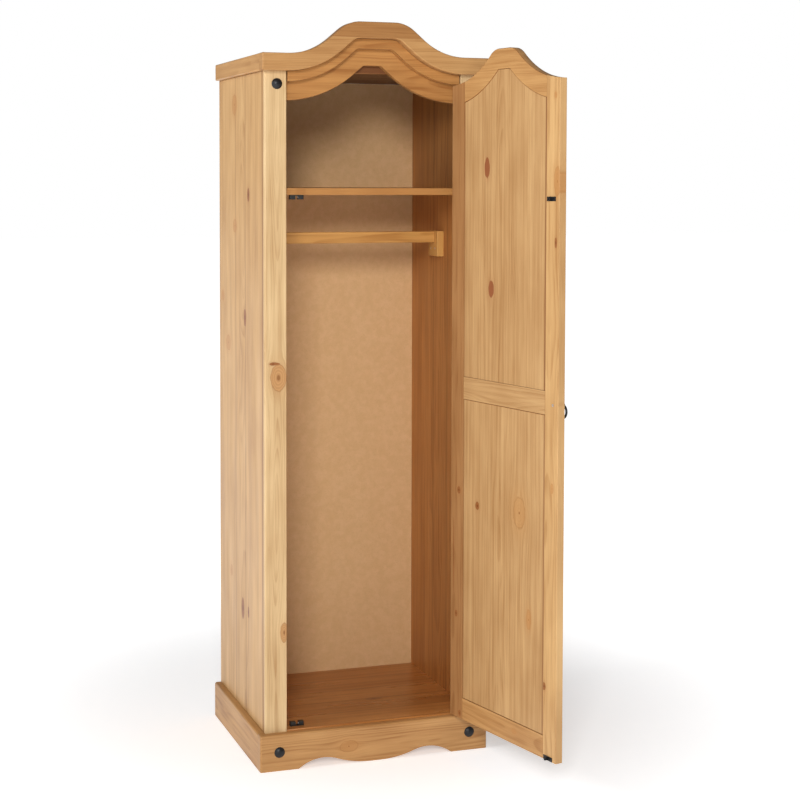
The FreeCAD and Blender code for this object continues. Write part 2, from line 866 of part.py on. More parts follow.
def build_leaf(label, owner, height):
    """One leaf with its knuckles, drawn about the pin's axis."""
    body = new_body(label, on_door=owner == "door")
    if owner == "frame":
        bind(body, "Placement.Base.x", f"{OPENING} - hinge_gap / 2")
        bind(body, "Placement.Base.y", f"{FACE} - hinge_lead")
    sign = 1 if owner == "frame" else -1
    near, far = f"{sign} * hinge_gap / 2", f"{sign} * (hinge_gap / 2 + leaf_thick)"
    x = (near, far) if sign > 0 else (far, near)
    z = (f"{height} - hinge_height / 2", f"{height} + hinge_height / 2")
    box(body, "Additive", x, ("hinge_lead", "hinge_lead + hinge_reach"), z)
    spans = [(f"{height} + ({low})", f"{height} + ({high})") for low, high in knuckle_spans()[owner]]
    for low, high in spans:
        length = f"({high}) - ({low})"
        cylinder(body, "Additive", ("0", "0", low), "barrel_radius", length, Vector(0, 0, 1))
        box(body, "Additive", x, ("barrel_bore", "hinge_lead"), (low, high))
    for low, high in spans:
        length = f"({high}) - ({low})"
        bore = "barrel_bore" if owner == "door" else "pin_radius"
        cylinder(body, "Subtractive", ("0", "0", low), bore, length, Vector(0, 0, 1))


# ---------------------------------------------------------------- fittings as groups


def group(label, shapes, on_door=False):
    """Identical small pieces kept together as separate solids."""
    feature = doc.addObject("Part::Feature", label)
    feature.Label = label
    feature.Shape = Part.makeCompound(shapes)
    if on_door:
        hang_on_door(feature)
    nodes[label] = feature
    return feature


def turned(profile):
    """A solid of revolution about Z from (radius, height) points."""
    points = [Vector(radius, 0, height) for radius, height in profile]
    face = Part.Face(Part.makePolygon(points + points[:1]))
    return face.revolve(Vector(), Vector(0, 0, 1), 360)


def countersunk(head, shank, length):
    """A screw along -Z with its flat head at the origin and a crossed recess."""
    body = turned([(0, 0), (head, 0), (shank, -(head - shank)), (shank, -length + shank), (0, -length)])
    long, wide, deep = (head * share for share in RECESS_SHARES)
    slots = [Part.makeBox(long, wide, 2 * deep) for _ in range(2)]
    for slot in slots:
        slot.translate(Vector(-long / 2, -wide / 2, -deep))
    slots[1].rotate(Vector(), Vector(0, 0, 1), 90)
    return body.cut(slots[0].fuse(slots[1]))


def placed(shape, at, direction):
    """A copy of a shape moved to a point, with its +Z turned to a direction."""
    copy = shape.copy()
    copy.Placement = FreeCAD.Placement(at, FreeCAD.Rotation(Vector(0, 0, 1), direction))
    return copy


def dome_stud():
    """A domed stud head whose flat back is at the origin."""
    radius, height = p.stud_radius, p.stud_height
    crown = height - p.stud_rim
    ball = (radius**2 + crown**2) / (2 * crown)
    dome = Part.makeSphere(ball, Vector(0, 0, height - ball))
    keep = Part.makeCylinder(radius, height, Vector(0, 0, p.stud_rim))
    rim = Part.makeCylinder(radius, p.stud_rim)
    shank = Part.makeCylinder(p.stud_shank, p.stud_bite, Vector(0, 0, -p.stud_bite))
    return dome.common(keep).fuse(rim).fuse(shank).removeSplitter()


def build_studs():
    """Black domed studs: one near the top of each stile, one in each foot of the plinth."""
    outward = Vector(0, -1, 0)
    face = -p.plinth_depth + p.step_back
    for label, y, z in (
        ("stile_studs", face, p.stile_stud_z),
        ("plinth_studs", -p.plinth_depth, p.plinth_stud_z),
    ):
        places = [Vector(sign * p.stud_x, y, z) for sign in SIDES.values()]
        group(label, [placed(dome_stud(), at, outward) for at in places])


def build_hinge_screws():
    """Two countersunk screws in each leaf, into the stile and into the door."""
    screw = countersunk(p.screw_head, p.screw_shank, p.screw_length)
    depth = p.hinge_lead + p.hinge_reach * HINGE_SCREW_SHARE
    axis_x = p.carcass_width / 2 - p.stile_width - p.hinge_gap / 2
    axis_y = -p.plinth_depth + p.step_back - p.hinge_lead
    heights = [getattr(p, name) for name in hinge_heights()]
    offsets = [p.hinge_height * share for share in HINGE_SCREW_ROWS]
    frame = []
    door = []
    for height in heights:
        for offset in offsets:
            z = height + offset
            frame.append(placed(screw, Vector(axis_x + p.hinge_gap / 2, axis_y + depth, z), Vector(-1, 0, 0)))
            door.append(placed(screw, Vector(-p.hinge_gap / 2, depth, z), Vector(1, 0, 0)))
    group("hinge_frame_screws", frame)
    group("hinge_door_screws", door, on_door=True)


def build_dowels():
    """Dowels that hold the shelf in the sides."""
    inside = p.carcass_width / 2 - p.board_thick
    z = p.shelf_top - p.board_thick / 2
    dowels = []
    for sign in SIDES.values():
        for share in DOWEL_SHARES:
            at = Vector(sign * inside - p.dowel_length / 2, -p.plinth_depth * share, z)
            dowels.append(Part.makeCylinder(p.dowel_radius, p.dowel_length, at, Vector(1, 0, 0)))
    group("shelf_dowels", dowels)


def build_back_tacks():
    """Round-headed tacks round the edge of the back panel."""
    crown = p.tack_crown
    tip = p.tack_length - p.tack_tip
    head = [(0, crown), (p.tack_head / 2, crown), (p.tack_head, 0)]
    tack = turned(head + [(p.tack_shank, 0), (p.tack_shank, -tip), (0, -p.tack_length)])
    low = p.plinth_height + p.tack_margin
    high = p.overall_height - p.arch_rise - p.cornice_end - p.tack_margin
    tacks = []
    for sign in SIDES.values():
        x = sign * (p.carcass_width / 2 - p.board_thick + p.back_rebate / 2)
        for row in range(TACK_ROWS):
            z = low + (high - low) * row / (TACK_ROWS - 1)
            tacks.append(placed(tack, Vector(x, -p.back_inset, z), Vector(0, 1, 0)))
    group("back_tacks", tacks)


# ---------------------------------------------------------------- hanging rail


def build_hanging_rail():
    """A square-edged wooden rail that drops into two slotted blocks."""
    middle = "(-plinth_depth + rail_setback)"
    board(
        "hanging_rail",
        (f"-{INSIDE} + rail_end_gap", f"{INSIDE} - rail_end_gap"),
        (f"{middle} - rail_thick / 2", f"{middle} + rail_thick / 2"),
        ("rail_bottom", "rail_bottom + rail_height"),
        ("front top", "back top", "front bottom", "back bottom"),
    )
    top = "(rail_bottom + rail_height + bracket_rise)"
    for side, sign in SIDES.items():
        outer = f"{sign} * {INSIDE}"
        inner = f"{sign} * ({INSIDE} - board_thick)"
        x = (outer, inner) if sign < 0 else (inner, outer)
        y = (f"{middle} - bracket_depth / 2", f"{middle} + bracket_depth / 2")
        other = {"left": "right", "right": "left"}[side]
        edges = (f"front {other}", f"{other} bottom", f"back {other}")
        z = (f"{top} - bracket_height", top)
        body = board(f"rail_bracket_{side}", x, y, z, edges, "bracket_ease")
        slot_y = (f"{middle} - bracket_slot / 2", f"{middle} + bracket_slot / 2")
        box(body, "Subtractive", x, slot_y, ("rail_bottom - bracket_floor", top))
    screw = countersunk(p.screw_head, p.screw_shank, p.bracket_screw_bite)
    screws = []
    for sign in SIDES.values():
        x = sign * (p.carcass_width / 2 - 2 * p.board_thick)
        for way in SIDES.values():
            y = -p.plinth_depth + p.rail_setback + way * p.bracket_screw_pitch / 2
            at = Vector(x, y, p.rail_bottom - p.bracket_screw_drop)
            screws.append(placed(screw, at, Vector(-sign, 0, 0)))
    group("bracket_screws", screws)


# ---------------------------------------------------------------- catches


def catch_levels():
    """Low end of each catch: the upper one hangs under the shelf, the lower one stands on the floor."""
    return {"upper": "(shelf_top - board_thick - catch_height)", "lower": "(floor_top)"}


def catch_numbers(place):
    """Height and depth of a catch's bore, and the height and direction of its fixing screw."""
    depth = -p.plinth_depth + p.step_back + p.stile_thick + p.catch_depth / 2
    if place == "upper":
        ceiling = p.shelf_top - p.board_thick
        return ceiling - p.catch_height / 2, depth, ceiling - p.catch_floor, -1
    return p.floor_top + p.catch_height / 2, depth, p.floor_top + p.catch_floor, 1


def build_catches():
    """Two double ball catches, each with two sprung balls that face each other across a gap."""
    springs = []
    caps = []
    screws = []
    screw = countersunk(p.small_head, p.small_shank, p.small_length)
    bore_end = p.catch_width / 2
    spring_start = bore_end - p.cap_thick - p.spring_length
    for place, low in catch_levels().items():
        body = new_body(f"catch_{place}_case")
        x = ("-catch_x - catch_width / 2", "-catch_x + catch_width / 2")
        y = (STILE_BACK, f"{STILE_BACK} + catch_depth")
        box(body, "Additive", x, y, (low, f"{low} + catch_height"))
        gap_x = ("-catch_x - catch_gap / 2", "-catch_x + catch_gap / 2")
        base_z = (f"{low} + catch_floor", f"{low} + catch_height")
        if place == "upper":
            base_z = (low, f"{low} + catch_height - catch_floor")
        ease(body, ("front left", "front right", "back left", "back right"), "board_ease")
        box(body, "Subtractive", gap_x, y, base_z)
        middle = (f"{STILE_BACK} + catch_depth / 2", f"{low} + catch_height / 2")
        start = "-catch_x - catch_width / 2"
        cylinder(body, "Subtractive", (start, *middle), "catch_bore", "catch_width", Vector(1, 0, 0))
        z, depth, screw_z, screw_way = catch_numbers(place)
        screws.append(placed(screw, Vector(-p.catch_x, depth, screw_z), Vector(0, 0, screw_way)))
        for side, sign in SIDES.items():
            ball = new_body(f"catch_{place}_ball_{side}")
            sphere = ball.newObject("PartDesign::AdditiveSphere", f"{ball.Label}_sphere")
            offset = f"-catch_x + {sign} * (catch_gap / 2 - ball_proud + ball_radius)"
            attach(sphere, ball, at=(offset, *middle))
            bind(sphere, "Radius", "ball_radius")
            spring = coil_spring()
            at = Vector(-p.catch_x + sign * spring_start, depth, z)
            springs.append(placed(spring, at, Vector(sign, 0, 0)))
            seat = Vector(-p.catch_x + sign * (bore_end - p.cap_thick), depth, z)
            caps.append(placed(Part.makeCylinder(p.catch_bore, p.cap_thick), seat, Vector(sign, 0, 0)))
    doc.recompute()
    group("catch_springs", springs)
    group("catch_caps", caps)
    group("catch_screws", screws)


def coil_spring():
    """A small compression spring along +Z."""
    mean = p.catch_bore - p.spring_wire - p.spring_slack
    height = p.spring_length - 2 * p.spring_wire
    pitch = height / p.spring_coils
    helix = Part.makeHelix(pitch, height, mean)
    start = helix.Vertexes[0].Point
    circle = Part.makeCircle(p.spring_wire, start, Vector(0, 1, pitch / (2 * math.pi * mean)))
    coil = Part.Wire(helix.Edges).makePipeShell([Part.Wire([circle])], True, True)
    coil.translate(Vector(0, 0, p.spring_wire))
    return coil


def build_strikes():
    """Strike plates on the door's inner face, each with a notched tongue for the balls."""
    centre = f"({OPENING} - hinge_gap / 2 + catch_x)"
    levels = {"upper": "(shelf_top - board_thick - catch_height)", "lower": "(door_bottom + strike_lift)"}
    screws = []
    screw = countersunk(p.small_head, p.small_shank, p.small_length)
    for place, low in levels.items():
        body = new_body(f"strike_{place}", on_door=True)
        x = (f"-{centre} - strike_width / 2", f"-{centre} + strike_width / 2")
        z = (low, f"{low} + catch_height - strike_lift")
        tongue_x = (f"-{centre} - strike_tongue / 2", f"-{centre} + strike_tongue / 2")
        tongue_z = (f"{low} + strike_margin", f"{low} + catch_height - strike_lift - strike_margin")
        box(body, "Additive", tongue_x, (DOOR_BACK, f"{DOOR_BACK} + strike_reach"), tongue_z)
        ease(body, ("back top", "back bottom"), "board_ease")
        box(body, "Additive", x, (DOOR_BACK, f"{DOOR_BACK} + strike_plate"), z)
        middle = f"{DOOR_BACK} + stile_thick - door_thick + catch_depth / 2"
        for sign in SIDES.values():
            at = (f"-{centre} + {sign} * (strike_tongue / 2 + strike_notch - strike_bite)", middle, low)
            cylinder(body, "Subtractive", at, "strike_notch", "catch_height", Vector(0, 0, 1))
            x_screw = -(p.carcass_width / 2 - p.stile_width - p.hinge_gap / 2 + p.catch_x)
            x_screw += sign * p.strike_screw_pitch / 2
            z_screw = strike_low(place) + (p.catch_height - p.strike_lift) / 2
            y_screw = p.hinge_lead + p.door_thick + p.strike_plate
            screws.append(placed(screw, Vector(x_screw, y_screw, z_screw), Vector(0, 1, 0)))
    group("strike_screws", screws, on_door=True)


def strike_low(place):
    if place == "upper":
        return p.shelf_top - p.board_thick - p.catch_height
    return p.door_bottom + p.strike_lift


# ---------------------------------------------------------------- ring pull


def build_ring_pull():
    """A post with an eye on a round rosette, a ring that hangs in the eye, and the fixing screw."""
    x = f"{DOOR_LATCH_EDGE} + pull_inset"
    outward = Vector(0, -1, 0)
    sideways = Vector(1, 0, 0)
    post = new_body("pull_post", on_door=True)
    foot = (x, "hinge_lead", "pull_height")
    cylinder(post, "Additive", foot, "rosette_radius", "rosette_rim", outward)
    cone = post.newObject("PartDesign::AdditiveCone", "pull_post_cone")
    rim = (x, "hinge_lead - rosette_rim", "pull_height")
    attach(cone, post, at=rim, turn=FreeCAD.Rotation(Vector(0, 0, 1), outward))
    bind(cone, "Radius1", "rosette_radius - rosette_rim")
    bind(cone, "Radius2", "stem_radius")
    bind(cone, "Height", "rosette_height - rosette_rim")
    cylinder(post, "Additive", foot, "stem_radius", "ring_stand", outward)
    eye = (f"{x} - eye_width / 2", "hinge_lead - ring_stand", "pull_height")
    cylinder(post, "Additive", eye, "eye_radius", "eye_width", sideways)
    bore = (f"{x} - eye_width", "hinge_lead - ring_stand", "pull_height")
    cylinder(post, "Subtractive", bore, "eye_bore", "2 * eye_width", sideways)

    ring = new_body("pull_ring", on_door=True)
    torus = ring.newObject("PartDesign::AdditiveTorus", "pull_ring_torus")
    at = (
        f"{DOOR_LATCH_EDGE} + pull_inset",
        "hinge_lead - ring_stand",
        "pull_height - ring_radius",
    )
    attach(torus, ring, at=at, turn=FreeCAD.Rotation(Vector(0, 0, 1), Vector(0, 1, 0)))
    bind(torus, "Radius1", "ring_radius")
    bind(torus, "Radius2", "ring_wire")
    doc.recompute()

    screw = countersunk(p.screw_head, p.screw_shank, p.pull_screw_bite)
    centre = -p.hinge_gap / 2 - p.door_width + p.pull_inset
    at = Vector(centre, p.hinge_lead + p.door_thick + p.pull_screw_proud, p.pull_height)
    group("pull_screw", [placed(screw, at, Vector(0, 1, 0))], on_door=True)


# ---------------------------------------------------------------- build, check, write

build_sides()
build_stiles()
build_floor()
build_inner_panels()
build_cornice()
build_plinth()
build_door_stiles()
build_door_rails()
build_door_panels()
build_hinges()
build_hinge_screws()
build_studs()
build_dowels()
build_back_tacks()
build_hanging_rail()
build_catches()
build_strikes()
build_ring_pull()
doc.recompute()

for item in doc.Objects:
    if {"Invalid", "Error"} & set(item.State):
        raise RuntimeError(f"{item.Label} failed: {item.State}")
os.makedirs("parts", exist_ok=True)
for label, item in nodes.items():
    if item.Shape.isNull() or not item.Shape.isValid():
        raise RuntimeError(f"{label} has no valid shape")
    item.Shape.exportStep(f"parts/{label}.step")
print(len(nodes), "nodes")
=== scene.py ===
import json
import math

import bpy
from mathutils import Matrix, Vector

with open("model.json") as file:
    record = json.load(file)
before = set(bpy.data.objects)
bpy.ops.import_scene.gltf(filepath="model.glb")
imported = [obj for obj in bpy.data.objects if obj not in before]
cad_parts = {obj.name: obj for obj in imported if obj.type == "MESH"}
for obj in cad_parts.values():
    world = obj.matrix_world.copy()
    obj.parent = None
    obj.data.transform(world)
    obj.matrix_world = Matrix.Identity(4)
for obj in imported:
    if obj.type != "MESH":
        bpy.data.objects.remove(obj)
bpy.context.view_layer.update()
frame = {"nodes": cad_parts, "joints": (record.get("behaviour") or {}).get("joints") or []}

# A narrow waxed-pine wardrobe: procedural pine for each board, black ironwork, pale studio.
# Lengths in the wood materials are millimetres: "along" follows the grain, "across" lies in the
# board's face at right angles to it, and "through" goes into the board.

door_joint = next(joint for joint in frame["joints"] if joint["name"] == "door_swing")
DOOR_PIVOT = Vector(door_joint["pos_m"])
DOOR_OPEN = math.radians(-door_joint["range_deg"][0])
MILLIMETRES = 1000.0


# ---------------------------------------------------------------- short calls for node trees


class Tree:
    """A node tree with short calls for the nodes that the materials use."""

    def __init__(self, tree):
        self.tree = tree

    def node(self, kind, inputs=None, **settings):
        made = self.tree.nodes.new(kind)
        for key, value in settings.items():
            setattr(made, key, value)
        for key, value in (inputs or {}).items():
            self.put(value, made.inputs[key])
        return made

    def put(self, value, socket):
        """Links an output, or sets a plain value."""
        if isinstance(value, bpy.types.NodeSocket):
            self.tree.links.new(value, socket)
        elif value is not None:
            socket.default_value = value

    def math(self, operation, a, b=None, c=None, clamp=False):
        inputs = {0: a, 1: b, 2: c}
        return self.node("ShaderNodeMath", inputs, operation=operation, use_clamp=clamp).outputs[0]

    def add(self, a, b):
        return self.math("ADD", a, b)

    def subtract(self, a, b):
        return self.math("SUBTRACT", a, b)

    def multiply(self, a, b):
        return self.math("MULTIPLY", a, b)

    def divide(self, a, b):
        return self.math("DIVIDE", a, b)

    def length(self, a, b):
        return self.math("SQRT", self.add(self.multiply(a, a), self.multiply(b, b)))

    def step(self, value, low, high):
        """0 at low, 1 at high, smooth between them. Low may be the larger."""
        made = self.node("ShaderNodeMapRange", interpolation_type="SMOOTHSTEP")
        for key, number in zip(("Value", "From Min", "From Max"), (value, low, high)):
            self.put(number, made.inputs[key])
        return made.outputs["Result"]

    def vector(self, x, y, z):
        return self.node("ShaderNodeCombineXYZ", {0: x, 1: y, 2: z}).outputs[0]

    def split(self, vector):
        return self.node("ShaderNodeSeparateXYZ", {0: vector}).outputs

    def noise(self, vector, scale=1.0, detail=2.0, roughness=0.5):
        inputs = {"Vector": vector, "Scale": scale, "Detail": detail, "Roughness": roughness}
        return self.node("ShaderNodeTexNoise", inputs)

    def mix(self, factor, a, b, blend="MIX", clamp=True):
        made = self.node("ShaderNodeMix", data_type="RGBA", blend_type=blend, clamp_factor=clamp)
        self.put(factor, made.inputs[0])
        self.put(a, made.inputs[6])
        self.put(b, made.inputs[7])
        return made.outputs[2]

    def bump(self, height, distance, strength=1.0):
        inputs = {"Height": height, "Distance": distance, "Strength": strength}
        return self.node("ShaderNodeBump", inputs).outputs[0]


def rgb(code):
    """A linear colour from the usual six-figure code."""
    parts = [int(code[i : i + 2], 16) / 255 for i in (0, 2, 4)]
    return tuple(c / 12.92 if c <= 0.04045 else ((c + 0.055) / 1.055) ** 2.4 for c in parts) + (1.0,)


def new_group(name, inputs, outputs):
    """A node group with named sockets. Vectors and colours are marked by their defaults."""
    group = bpy.data.node_groups.new(name, "ShaderNodeTree")
    kinds = {float: "NodeSocketFloat", tuple: "NodeSocketColor", Vector: "NodeSocketVector"}
    for label, value in inputs.items():
        socket = group.interface.new_socket(label, in_out="INPUT", socket_type=kinds[type(value)])
        socket.default_value = value
    for label, kind in outputs.items():
        group.interface.new_socket(label, in_out="OUTPUT", socket_type=kinds[kind])
    tree = Tree(group)
    return tree, tree.node("NodeGroupInput").outputs, tree.node("NodeGroupOutput").inputs


def call(tree, group, inputs):
    made = tree.node("ShaderNodeGroup", node_tree=group)
    for label, value in inputs.items():
        tree.put(value, made.inputs[label])
    return made.outputs


# ---------------------------------------------------------------- pine


def make_knot_group():
    """Grain lines that flow round one knot, and how far a point is from it in knot radii."""
    inputs = {"Along": 0.0, "Across": 0.0, "At": 0.0, "Over": 0.0, "Long": 10.0, "Wide": 10.0}
    tree, given, result = new_group("knot", inputs, {"Across": float, "Distance": float})
    u = tree.divide(tree.subtract(given["Along"], given["At"]), given["Long"])
    offset = tree.subtract(given["Across"], given["Over"])
    v = tree.divide(offset, given["Wide"])
    wobble = tree.noise(tree.vector(given["Along"], given["Across"], 0.0), 0.09).outputs[0]
    distance = tree.multiply(tree.length(u, v), tree.add(0.85, tree.multiply(wobble, 0.3)))
    spread = tree.math("MAXIMUM", tree.multiply(distance, distance), 1.0)
    flow = tree.subtract(1.0, tree.divide(0.8, spread))
    tree.put(tree.add(given["Over"], tree.multiply(offset, flow)), result["Across"])
    tree.put(distance, result["Distance"])
    return tree.tree


SEAM_COLOUR = rgb("74421c")

# Late wood in a growth ring, and full stain, as a share of the early wood's colour.
LATE_SHARE = (0.60, 0.46, 0.32, 1.0)


def make_grain_group():
    """Growth rings cut by a board, in boards glued side by side, with fibres and slow changes of tone."""
    inputs = {
        "Along": 0.0,
        "Across": 0.0,
        "Through": 0.0,
        "Seed": 0.0,
        "Pith across": 0.0,
        "Pith depth": 70.0,
        "Ring": 4.0,
        "Board": 0.0,
        "Seam": 0.0,
        "Stain": 0.0,
        "Early": (1.0, 1.0, 1.0, 1.0),
        "Late": (0.5, 0.5, 0.5, 1.0),
        "Contrast": 0.5,
        "Streak": 0.07,
    }
    tree, given, result = new_group("pine_grain", inputs, {"Color": tuple, "Height": float})
    along, across, through = given["Along"], given["Across"], given["Through"]

    # Each glued board has its own tree, so its rings, its tone and its place along the grain differ.
    luck = tree.node("ShaderNodeTexWhiteNoise", {"Vector": tree.vector(given["Board"], given["Seed"], 3.0)})
    chance = tree.split(luck.outputs["Color"])
    pith = tree.add(given["Pith across"], tree.multiply(tree.subtract(chance[0], 0.5), 70.0))
    along = tree.add(along, tree.multiply(chance[1], 900.0))

    # The trunk wanders and tapers, which draws long arches on a flat-cut face.
    seed = tree.multiply(given["Seed"], 17.3)
    slow = tree.noise(
        tree.vector(tree.multiply(along, 0.0016), tree.multiply(across, 0.006), seed), 1.0, 2.0
    )
    drift = tree.split(slow.outputs["Color"])
    x = tree.subtract(tree.add(across, tree.multiply(tree.subtract(drift[0], 0.5), 20.0)), pith)
    y = tree.add(tree.add(through, given["Pith depth"]), tree.multiply(tree.subtract(drift[1], 0.5), 34.0))
    radius = tree.length(x, y)
    years = tree.noise(tree.vector(tree.multiply(radius, 0.05), seed, 0.0), 1.0, 2.0).outputs[0]
    ring = tree.math("FRACT", tree.add(tree.divide(radius, given["Ring"]), tree.multiply(years, 5.0)))
    late = tree.multiply(tree.step(ring, 0.25, 0.86), tree.step(ring, 1.0, 0.9))

    fibre_at = tree.vector(
        tree.multiply(along, 0.012), tree.multiply(across, 0.9), tree.multiply(through, 0.9)
    )
    fibre = tree.noise(fibre_at, 1.0, 3.0, 0.6).outputs[0]
    streak_at = tree.vector(tree.multiply(along, 0.0022), tree.multiply(across, given["Streak"]), seed)
    streak = tree.noise(streak_at, 1.0, 3.0, 0.55).outputs[0]
    cloud_at = tree.vector(tree.multiply(along, 0.006), tree.multiply(across, 0.014), seed)
    cloud = tree.noise(cloud_at, 1.0, 2.0).outputs[0]

    fade = tree.step(streak, 0.3, 0.65)
    depth = tree.multiply(tree.multiply(late, fade), given["Contrast"])
    for source, weight in ((streak, 1.1), (fibre, 0.9), (cloud, 0.9), (chance[2], 0.12)):
        depth = tree.add(depth, tree.multiply(tree.subtract(source, 0.5), weight))
    colour = tree.mix(depth, given["Early"], given["Late"], clamp=False)
    dash_at = tree.vector(tree.multiply(along, 0.03), tree.multiply(across, 0.6), tree.add(seed, 9.0))
    dash = tree.step(tree.noise(dash_at, 1.0, 1.0).outputs[0], 0.70, 0.78)
    colour = tree.mix(tree.multiply(dash, 0.3), colour, given["Late"])
    colour = tree.mix(given["Stain"], colour, tree.mix(1.0, colour, LATE_SHARE, "MULTIPLY"))
    colour = tree.mix(given["Seam"], colour, SEAM_COLOUR)

    height = tree.add(tree.multiply(late, 0.35), tree.multiply(fibre, 0.5))
    height = tree.subtract(height, given["Seam"])
    tree.put(colour, result["Color"])
    tree.put(height, result["Height"])
    return tree.tree


def make_knot_colour_group():
    """Paints one knot: reddish heartwood with rings and a dark rim, and a warm halo that fades out."""
    inputs = {
        "Color": (1.0, 1.0, 1.0, 1.0),
        "Distance": 5.0,
        "Core": rgb("8a4a22"),
        "Rim": rgb("5a2a10"),
        "Heart": 0.2,
        "Solid": 1.0,
        "Edge": 0.4,
    }
    tree, given, result = new_group("knot_colour", inputs, {"Color": tuple})
    distance = given["Distance"]
    halo = tree.multiply(tree.step(distance, 2.3, 1.0), 0.35)
    colour = tree.mix(halo, given["Color"], tree.mix(0.45, given["Color"], given["Core"]))
    rings = tree.math("SINE", tree.multiply(distance, 26.0))
    core = tree.mix(tree.add(0.25, tree.multiply(rings, 0.15)), given["Core"], given["Rim"])
    inside = tree.multiply(tree.step(distance, 1.08, 0.95), given["Solid"])
    colour = tree.mix(inside, colour, core)
    rim = tree.multiply(tree.step(distance, 0.88, 1.0), tree.step(distance, 1.12, 1.0))
    colour = tree.mix(tree.multiply(rim, given["Edge"]), colour, given["Rim"])
    heart = tree.step(distance, given["Heart"], tree.multiply(given["Heart"], 0.5))
    colour = tree.mix(heart, colour, given["Rim"])
    tree.put(colour, result["Color"])
    return tree.tree


KNOT = make_knot_group()
GRAIN = make_grain_group()
KNOT_COLOUR = make_knot_colour_group()

# Pine under warm lacquer, from bare wood to the most deeply stained, and darker tones that paint shade.
# Boards of one kind share a tone.
TONES = {
    "bare": "dabc96",
    "pale": "ceae80",
    "sand": "c49a66",
    "warm": "cc9854",
    "tan": "bc9464",
    "honey": "b88a56",
    "rust": "b87c42",
    "amber": "b07c44",
    "umber": "a07246",
    # edge: partly stain, partly painted shade, for the arrises.
    "edge": "8c5c30",
    # dark: painted shade, for the top panel in the shadow of the door stop.
    "dark": "6c4222",
}

# A knot is (place along the grain, place across it, half its length, half its width, kind).
KNOT_LOOKS = {
    "round": {"Core": rgb("c2935f"), "Rim": rgb("8f5f34"), "Heart": 0.3},
    "red": {"Core": rgb("945a38"), "Rim": rgb("84492a"), "Heart": 0.05},
    "dark": {"Core": rgb("9c6437"), "Rim": rgb("6f3c1c"), "Heart": 0.4},
    "swirl": {"Core": rgb("c08a50"), "Rim": rgb("8c5a2c"), "Heart": 0.12, "Solid": 0.3, "Edge": 0.3},
    "ghost": {"Core": rgb("b98048"), "Rim": rgb("a06a34"), "Heart": 0.15, "Solid": 0.5, "Edge": 0.3},
}


def board_axes(tree, along, across, on_door):
    """A board's own coordinates in millimetres. A door board is measured in the closed door."""
    place = tree.node("ShaderNodeTexCoord").outputs["Object"]
    if on_door:
        turn = Matrix.Rotation(-DOOR_OPEN, 3, "Z")
        inputs = {
            "Vector": place,
            "Location": -(turn @ DOOR_PIVOT),
            "Rotation": (0.0, 0.0, -DOOR_OPEN),
        }
        place = tree.node("ShaderNodeMapping", inputs).outputs[0]
    to_millimetres = {0: place, 1: (MILLIMETRES,) * 3}
    scaled = tree.node("ShaderNodeVectorMath", to_millimetres, operation="MULTIPLY")
    parts = dict(zip("XYZ", tree.split(scaled.outputs[0])))
    through = next(axis for axis in "XYZ" if axis not in along + across)
    return parts[along], parts[across], parts[through]


def boards_and_seams(tree, across, seams):
    """Which glued board a point lies in, how stained it is, and how close a seam is."""
    board, line, stain = 0.0, 0.0, 0.0
    for place, width, depth, change in seams:
        beyond = tree.math("GREATER_THAN", across, place)
        board = tree.add(board, beyond)
        stain = tree.add(stain, tree.multiply(beyond, change))
        gap = tree.math("ABSOLUTE", tree.subtract(across, place))
        line = tree.math("MAXIMUM", line, tree.multiply(tree.step(gap, width, width * 0.2), depth))
    return board, line, stain


def pine(
    name,
    along="Z",
    across="X",
    tone="tan",
    seed=1.0,
    pith=0.0,
    depth=70.0,
    ring=2.8,
    contrast=0.5,
    seams=(),
    knots=(),
    on_door=False,
    roughness=0.42,
    streak=0.07,
):
    """Waxed pine for one board or one set of boards."""
    material = bpy.data.materials.new(name)
    material.use_nodes = True
    material.node_tree.nodes.clear()
    tree = Tree(material.node_tree)
    along_at, straight_across, through_at = board_axes(tree, along, across, on_door)
    across_at = straight_across
    distances = []
    for at, over, long, wide, kind in knots:
        place = {"Along": along_at, "Across": across_at, "At": at, "Over": over, "Long": long, "Wide": wide}
        found = call(tree, KNOT, place)
        across_at = found["Across"]
        distances.append((found["Distance"], kind))
    board, seam, stain = boards_and_seams(tree, straight_across, seams)
    early = rgb(TONES[tone])
    wood = call(
        tree,
        GRAIN,
        {
            "Along": along_at,
            "Across": across_at,
            "Through": through_at,
            "Seed": seed,
            "Pith across": pith,
            "Pith depth": depth,
            "Ring": ring,
            "Board": board,
            "Seam": seam,
            "Stain": stain,
            "Early": early,
            "Late": tuple(value * share for value, share in zip(early, LATE_SHARE)),
            "Contrast": contrast,
            "Streak": streak,
        },
    )
    colour = wood["Color"]
    for distance, kind in distances:
        colour = call(tree, KNOT_COLOUR, {"Color": colour, "Distance": distance, **KNOT_LOOKS[kind]})["Color"]
    smear_at = tree.vector(tree.multiply(along_at, 0.004), tree.multiply(across_at, 0.02), seed)
    smear = tree.noise(smear_at, 1.0, 3.0).outputs[0]
    shine = tree.add(roughness - 0.1, tree.multiply(smear, 0.2))
    inputs = {
        "Base Color": colour,
        "Roughness": shine,
        "Specular IOR Level": 0.25,
        "Coat Weight": 0.05,
        "Coat Roughness": 0.3,
        "Normal": tree.bump(wood["Height"], 0.0002, 0.5),
    }
    finish_material(tree, inputs)
    return material


# ---------------------------------------------------------------- other materials


def plain_tree(name):
    """An empty material, its node tree and the object's own coordinates."""
    material = bpy.data.materials.new(name)
    material.use_nodes = True
    material.node_tree.nodes.clear()
    tree = Tree(material.node_tree)
    place = tree.node("ShaderNodeTexCoord").outputs["Object"]
    return material, tree, place


def finish_material(tree, inputs):
    """Ends a material with one shader that takes the given inputs."""
    shader = tree.node("ShaderNodeBsdfPrincipled", inputs)
    output = tree.node("ShaderNodeOutputMaterial")
    tree.put(shader.outputs[0], output.inputs["Surface"])


